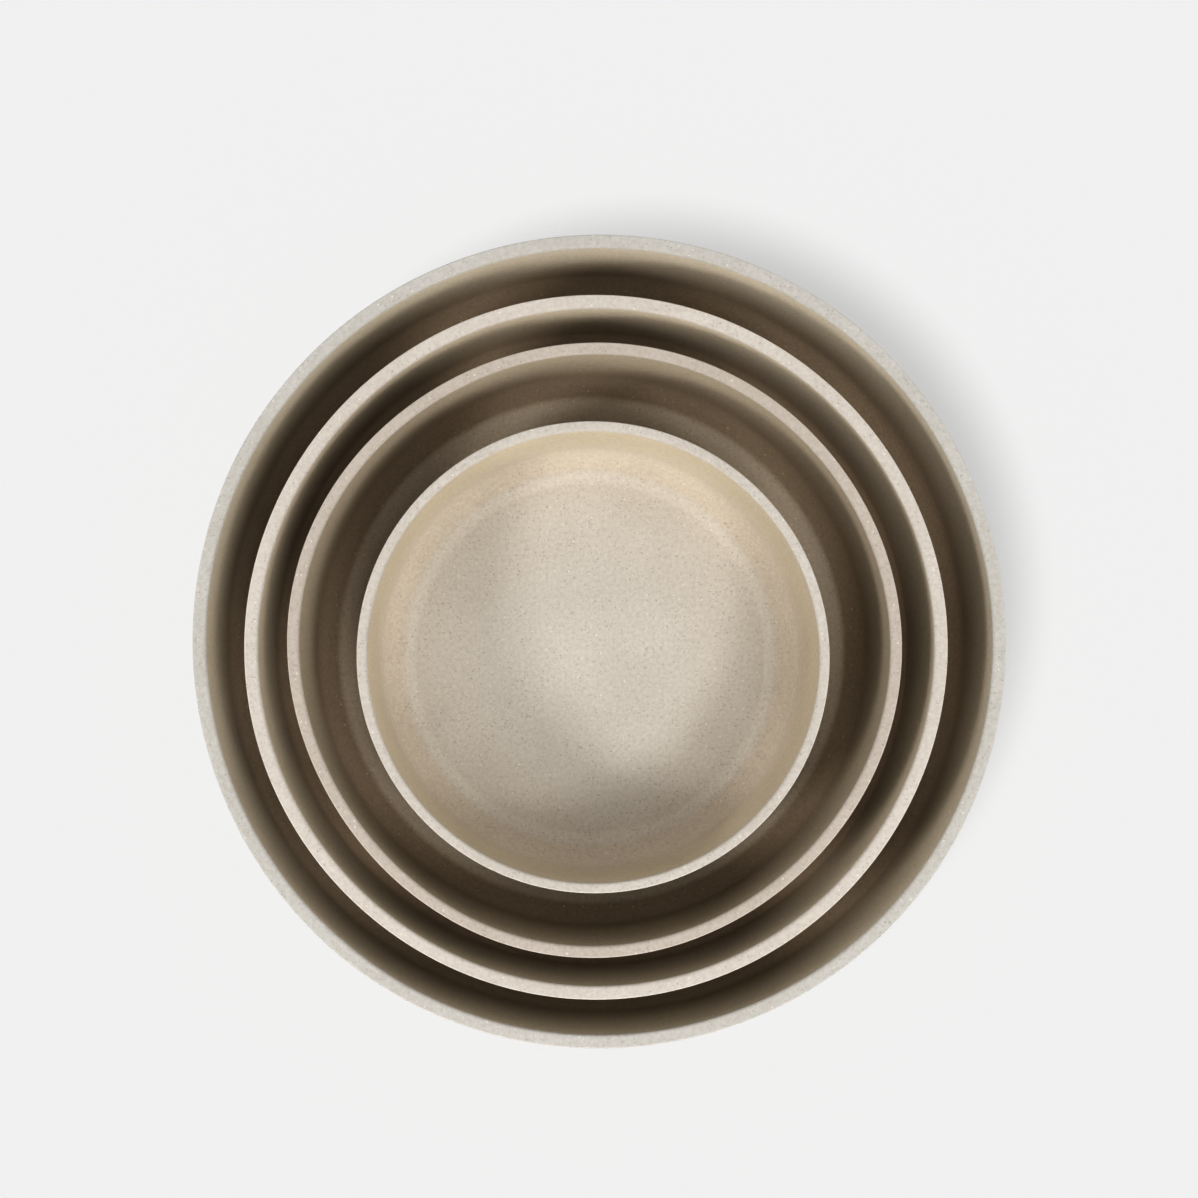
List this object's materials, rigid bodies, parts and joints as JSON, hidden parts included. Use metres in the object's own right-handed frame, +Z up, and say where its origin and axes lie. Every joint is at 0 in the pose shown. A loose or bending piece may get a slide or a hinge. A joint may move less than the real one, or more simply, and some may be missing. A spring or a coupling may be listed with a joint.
{
  "type": "nest of straight-sided stoneware bowls",
  "caption": "Nest of round, flat-bottomed, straight-sided bowls in speckled unglazed stoneware, each standing inside the next larger one and lifting straight out.",
  "frame": {"origin": "centre of the largest bowl's foot, in the plane that its foot ring stands on", "axes": "+Z up, out of the bowls' mouths; the bowls are round, so +X and +Y only fix the way the inner bowls stand off centre"},
  "size_m": [0.255, 0.255, 0.0745],
  "materials": {
    "large_stoneware": "unglazed stoneware, fine matt bisque with dark speckles, the greyest of the set",
    "medium_stoneware": "unglazed stoneware, fine matt bisque with dark speckles, the palest of the set",
    "small_stoneware": "unglazed stoneware, fine matt bisque with dark speckles, slightly pinker",
    "smallest_stoneware": "unglazed stoneware, fine matt bisque with dark speckles"
  },
  "bodies": {
    "large_bowl": {"large_bowl": "large_stoneware"},
    "medium_bowl": {"medium_bowl": "medium_stoneware"},
    "small_bowl": {"small_bowl": "small_stoneware"},
    "smallest_bowl": {"smallest_bowl": "smallest_stoneware"}
  },
  "joints": [
    {"name": "lift_medium_bowl", "type": "slide", "parent": "large_bowl", "child": "medium_bowl", "axis": [0, 0, 1], "range_m": [0, 0.06]},
    {"name": "lift_small_bowl", "type": "slide", "parent": "medium_bowl", "child": "small_bowl", "axis": [0, 0, 1], "range_m": [0, 0.06]},
    {"name": "lift_smallest_bowl", "type": "slide", "parent": "small_bowl", "child": "smallest_bowl", "axis": [0, 0, 1], "range_m": [0, 0.06]}
  ]
}
